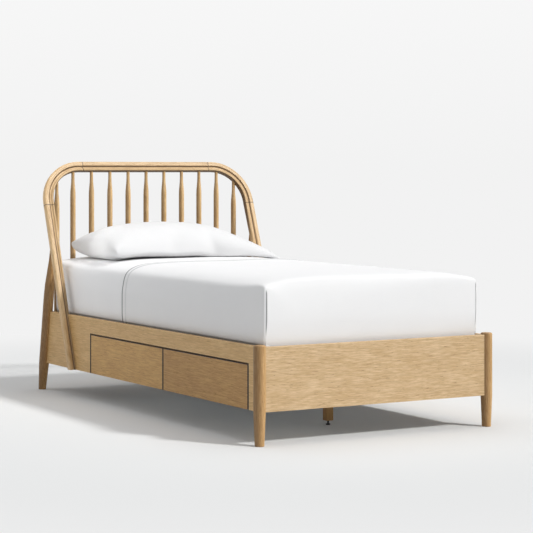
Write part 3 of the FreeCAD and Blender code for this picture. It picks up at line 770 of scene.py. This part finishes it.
def fall(x, y):
    """How far the bed's top lies below its crown: rolled over along the sides and, less and less
    towards the right, at the foot. It is tight at the head and pulled tight at its four corners."""
    side = max(0.0, mattress_high[0] + roll_overhang - abs(x))
    foot = max(0.0, y - mattress_low[1] + roll_overhang)
    head = max(0.0, mattress_high[1] - y + roll_overhang)
    along = blend(eased(min(foot / loose_from_foot, head / loose_from_head)), roll, tight_roll, side)
    across = (x - mattress_low[0]) / (mattress_high[0] - mattress_low[0])
    end = blend(eased(across / tight_left_share) * (1 - eased(across)), foot_roll, corner_roll, foot)
    return along + max(end, between(head_roll, head))


def dent_at(x, y):
    """How the top rises and dips at a place: wide dents with finer ones on them."""
    wide = noise.noise(Vector((x * wide_dents_often[0], y * wide_dents_often[1], 1.7)))
    fine = noise.noise(Vector((x * fine_dents_often[0], y * fine_dents_often[1], 4.1)))
    return wide + fine * fine_dents_share


def settle(thing, low, high):
    """Rolls the top edge over, lets the top follow its shallow dents, and draws the sides in
    where they go down behind the rails."""
    grow = high[0] - mattress_high[0]
    for point in thing.data.vertices:
        x, y, z = point.co
        if z > high[2] - top_closeness:
            deep = min(1.0, max(0.0, (high[0] - abs(x)) / dents_full))
            dent = top_dents * (0.5 - dent_at(x, y) * 0.5) * deep
            z -= fall(x + math.copysign(roll_overhang - grow, x), y) + dent
        bulge = side_dents * noise.noise(Vector([v * often for v, often in zip((x, y, z), bulges_often)]))
        drawn = between(end_bow, z - tuck_z) + bulge
        if abs(x) > high[0] - corner_round:
            x -= math.copysign(between(side_bow, z - tuck_z) + bulge, x)
        if y < low[1] + corner_round:
            y += drawn
        if y > high[1] - corner_round:
            y -= drawn
        point.co = (x, y, z)


def grown(low, high, grow):
    """A box's two corners, moved outwards."""
    return [v - grow for v in low], [v + grow for v in high]


def finish_cloth(thing, thickness=None):
    """Smooths a soft piece and, if it is a sheet, gives it its thickness."""
    only(thing)
    smooth = thing.modifiers.new("smooth", "SUBSURF")
    smooth.levels = smooth.render_levels = 1
    bpy.ops.object.modifier_apply(modifier="smooth")
    if thickness:
        wall = thing.modifiers.new("wall", "SOLIDIFY")
        wall.thickness = thickness
        wall.offset = -1
        bpy.ops.object.modifier_apply(modifier="wall")
    bpy.ops.object.shade_smooth()


def drop_faces(thing, gone):
    """Deletes the faces whose middle the test picks."""
    for face in thing.data.polygons:
        face.select = gone(face.center)
    bpy.ops.object.mode_set(mode="EDIT")
    bpy.ops.mesh.select_mode(type="FACE")
    bpy.ops.mesh.delete(type="FACE")
    bpy.ops.object.mode_set(mode="OBJECT")


def put_on(thing, material, slot, body, *stood_for):
    """Gives a soft piece its finish, and lets it ride its body in place of the frame's nodes. The slot is
    not used."""
    thing.data.materials.clear()
    thing.data.materials.append(material)
    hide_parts(*stood_for)
    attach(thing, body)


def make_mattress():
    """The mattress in its ticking."""
    low, high = list(mattress_low), list(mattress_high)
    thing = bed_block("mattress_body", low, high)
    settle(thing, low, high)
    finish_cloth(thing)
    put_on(thing, cotton("mattress ticking", ticking_white), "mattress_ticking", "bed_mattress", "mattress")
    return thing


def make_fitted_sheet():
    """The sheet stretched over the whole mattress, open below."""
    low, high = grown(mattress_low, mattress_high, fitted_gap)
    thing = bed_block("stretched_sheet", low, high)
    settle(thing, low, high)
    drop_faces(thing, lambda middle: middle.z < hem_bottom)
    finish_cloth(thing, sheet_thickness)
    material = cotton("cotton of the fitted sheet", fitted_sheet_white)
    put_on(thing, material, "sheet_cotton", "bed_mattress", "fitted_sheet")
    width, length = (high[n] - low[n] for n in (0, 1))
    depth = high[2] - hem_bottom
    flat = (width + 2 * depth, length + 2 * depth)
    flat[0] * flat[1] - 4 * depth ** 2
    return thing


def make_top_sheet():
    """The sheet over the lower part of the bed, with a folded hem across the top and a mitre at
    each corner of the foot."""
    low, high = grown(mattress_low, mattress_high, top_gap)
    thing = bed_block("laid_sheet", low, high)
    hem_start = hem_y - hem_width
    cut_across(thing, 1, (hem_y, hem_y - hem_step, hem_start, hem_start - hem_step))
    cut_across(thing, 0, (mitre_x, mitre_x - mitre_step, mitre_step - mitre_x, -mitre_x))
    settle(thing, low, high)
    drop_faces(thing, lambda middle: middle.z < hem_bottom or middle.y > hem_y)
    thing.data.update()
    normals = [point.normal.copy() for point in thing.data.vertices]
    for point, normal in zip(thing.data.vertices, normals):
        if point.co.y > hem_start - closeness:
            point.co += normal * hem_rise
        on_face = point.co.y < low[1] + on_foot_face and point.co.z > tuck_z + mitre_from
        if on_face and abs(point.co.x) < mitre_x - mitre_step / 2:
            point.co += normal * mitre_rise
    finish_cloth(thing, sheet_thickness)
    material = cotton("cotton of the top sheet", top_sheet_white, hem_shade_lines)
    put_on(thing, material, "sheet_cotton", "bed_mattress", "top_sheet")
    width, length = high[0] - low[0], hem_y - low[1]
    depth = high[2] - hem_bottom
    flat = (width + 2 * depth, length + depth)
    flat[0] * flat[1] - 2 * depth ** 2


def make_pillow():
    """A pillow in its case: two flat panels sewn round their edge and filled by pressure, then
    laid on the bed with its left end up and its right end flat."""
    far = (case_length / 2, case_width / 2, case_half_thickness)
    thing = block("filled_pillow", [-v for v in far], far)
    for axis in (0, 1):
        cut_across(thing, axis, steps_between(-far[axis], far[axis], case_weave)[1:-1])
    fill_case(thing)
    lay_pillow(thing)
    finish_cloth(thing)
    put_on(thing, cotton("cotton of the pillow case", pillow_white), "pillow_cotton", "bed_pillow", "pillow")


def fill_case(thing):
    """Blows the flat case up, then evens its small creases."""
    cloth = thing.modifiers.new("filling", "CLOTH")
    settings = cloth.settings
    settings.quality = 5
    settings.mass = 0.3
    settings.use_pressure = True
    settings.uniform_pressure_force = 5
    settings.tension_stiffness = settings.compression_stiffness = 20
    settings.shear_stiffness = 8
    settings.bending_stiffness = 0.6
    settings.effector_weights.gravity = 0
    for moment in range(1, filling_moments + 1):
        bpy.context.scene.frame_set(moment)
    bpy.ops.object.modifier_apply(modifier="filling")
    bpy.context.scene.frame_set(1)
    ease = thing.modifiers.new("ease", "SMOOTH")
    ease.factor = 0.5
    ease.iterations = 16
    bpy.ops.object.modifier_apply(modifier="ease")


def pillow_seam(u, v):
    """How high the pillow's seam lies: raised at the left, most at the back, and low at the right."""
    left, right = max(0.0, -u), max(0.0, u)
    return seam_height + (seam_left_rise + seam_back_rise * v) * left ** 2 - seam_right_drop * right ** 2


def pillow_top(u, v, w, seam, height):
    """The height of a point of the pillow's upper side."""
    full = between(pillow_fullness, u) * (1 + back_fullness * v * (1 - u * u))
    across, slant, along = ripples_often
    ripple = noise.noise(Vector((u * across + v * slant, v * along, 0.3)))
    full += top_ripple * ripple * (1 - u * u)
    return seam + (height - seam) * max(0.0, w) ** top_power * full


def pillow_underside(u, v, w, seam):
    """The height of a point of the underside: rounded in the middle, pressed flat at both ends,
    with a short crease at the front of the right end."""
    left = eased((u - left_underside[0]) / left_underside[1])
    right = eased((u - right_underside[0]) / right_underside[1])
    round_under = left * (1 - right)
    press = end_press - middle_press_less * round_under + right_press_more * right
    z = seam * (1 - min(1.0, press * (-w) ** (end_flatness + middle_rounder * round_under)))
    near_front = min(1.0, max(0.0, -4 * v - 2.6))
    return z + crease_height * math.exp(-((u - crease_middle) / crease_width) ** 2) * near_front


def lay_pillow(thing):
    """Brings the filled case to its size and place, with the lie of its seam and its weight on
    the sheet. u runs from -1 at the pillow's left to 1, v from -1 at its front, w from -1 below."""
    points = [point.co.copy() for point in thing.data.vertices]
    reach = [max(abs(point[n]) for point in points) for n in range(3)]
    middle = (pillow_low + pillow_high) / 2
    half = (pillow_high - pillow_low) / 2
    seat = pillow_low[2] + pillow_seat
    height = pillow_high[2] - seat
    for point, place in zip(points, thing.data.vertices):
        u, v, w = (point[n] / reach[n] for n in range(3))
        seam = pillow_seam(u, v)
        z = pillow_underside(u, v, w, seam) if w < 0 else pillow_top(u, v, w, seam, height)
        pull = corner_pull * max(0.0, -u) ** corner_sharpness * max(0.0, -v) ** corner_sharpness
        x = middle.x + u * half.x + pull
        y = middle.y + v * half.y
        resting = 1.0 if u > 0 or z < underside_touch else max(0.0, 1 + u * 4)
        place.co = (x, y, seat + max(0.0, z) - fall(x, y) * resting)


mattress_body = make_mattress()
fitted_sheet = make_fitted_sheet()
make_top_sheet()
make_pillow()

# Floor, light and camera

background_high = colour(247, 247, 247)
background_low = colour(242, 242, 242)
background_rise = 0.1
floor_shade = colour(232, 233, 233)
floor_width = 60
floor_fade = (1.7, 3.7)
fill_tint = (0.98, 0.99, 1.01, 1)
fill_strength = 0.352
white_light = (1, 1, 1)
sun_tint = (1.0, 0.995, 0.985)
cool_tint = (0.84, 1.0, 1.18)
camera_place = (-3.8072, -6.7080, 1.0114)
camera_turn = (math.radians(90), 0, -0.5267)
camera_sensor = 36.0
camera_lens = 122.09
camera_shift = -0.18263
camera_reach = 200

# The lamps: name, place, target, strength in watts, tint, width and height, spread in degrees
area_lamps = (
    ("side", (-1.4, 1.3, 1.5), (-0.4, 0.6, 0.65), 0.8, white_light, (0.8, 0.8), 75),
    ("pillow end", (-1.4, 0.64, 0.80), (-0.42, 0.64, 0.70), 0.075, white_light, (0.2, 0.08), 20),
    ("below", (0, 0, 0.118), (0, 0, 0), 0.22, cool_tint, (0.9, 1.9), 180),
    ("overhead", (0, 0, 4.0), (0, 0, 0.4), 60, white_light, (4.0, 4.0), 180),
)
sun_place = (2.42, -3.96, 4.4)
sun_target = (0, 0, 0.4)
sun_strength = 2.1
sun_width = math.radians(6.5)


def make_floor():
    """A pale floor that fades into the backdrop where the camera looks at it."""
    bpy.ops.mesh.primitive_plane_add(size=floor_width)
    floor = bpy.context.object
    floor.name = "studio_floor"
    finish = Finish("studio floor", Roughness=0.95, Specular_IOR_Level=0.0)
    x, y = finish.split(finish.place())[:2]
    reach = (x * x + y * y) ** 0.5
    finish.paint(floor_shade)
    glow = finish.node("Emission", None, {"Color": background_low, "Strength": 1.0})
    seen = Tone(finish, finish.node("LightPath", out="Is Camera Ray"))
    faded = {0: finish.smooth(reach, *floor_fade) * seen, 1: finish.shader.outputs[0], 2: glow}
    finish.join(finish.output.inputs[0], finish.node("MixShader", None, faded))
    floor.data.materials.append(finish.material)


def make_world():
    """An even fill, with a pale backdrop where the camera or a gloss looks at it."""
    world = bpy.data.worlds.new("studio")
    bpy.context.scene.world = world
    world.use_nodes = True
    sky = Nodes(world.node_tree)
    up = sky.split(sky.node("TexCoord", out="Generated"))[2]
    rise = sky.node("MapRange", None, {"Value": up, "From Min": 0.0, "From Max": background_rise})
    backdrop = sky.mix(rise, background_low, background_high)
    fill = sky.node("Background", None, {"Color": fill_tint, "Strength": fill_strength})
    seen = sky.node("Background", None, {"Color": backdrop})
    rays = [sky.node("LightPath", out=way) for way in ("Is Camera Ray", "Is Glossy Ray")]
    either = sky.math("MAXIMUM", *rays)
    final = sky.tree.nodes.new("ShaderNodeOutputWorld")
    sky.join(final.inputs[0], sky.node("MixShader", None, {0: either, 1: fill, 2: seen}))


def lamp(name, kind, place, target, strength, tint):
    """A lamp at a place, turned towards a target."""
    data = bpy.data.lights.new(name, kind)
    data.energy = strength
    data.color = tint
    thing = bpy.data.objects.new(name, data)
    bpy.context.scene.collection.objects.link(thing)
    thing.location = place
    thing.rotation_mode = "QUATERNION"
    thing.rotation_quaternion = (Vector(target) - Vector(place)).to_track_quat("-Z", "Y")
    thing.visible_camera = False
    return data


def area_lamp(name, place, target, strength, tint, size, spread):
    """A rectangular lamp of a width and height, whose light spreads by an angle in degrees."""
    data = lamp(name, "AREA", place, target, strength, tint)
    data.shape = "RECTANGLE"
    data.size, data.size_y = size
    data.spread = math.radians(spread)


def make_camera():
    """The camera of the photograph: level, with its picture shifted down."""
    data = bpy.data.cameras.new("camera")
    camera = bpy.data.objects.new("camera", data)
    bpy.context.scene.collection.objects.link(camera)
    bpy.context.scene.camera = camera
    data.sensor_width = camera_sensor
    data.lens = camera_lens
    data.shift_y = camera_shift
    data.clip_end = camera_reach
    camera.location = camera_place
    camera.rotation_euler = camera_turn


make_floor()
make_world()
key = lamp("key", "SUN", sun_place, sun_target, sun_strength, sun_tint)
key.angle = sun_width
for settings in area_lamps:
    area_lamp(*settings)
make_camera()
bpy.context.scene.view_settings.view_transform = "Standard"
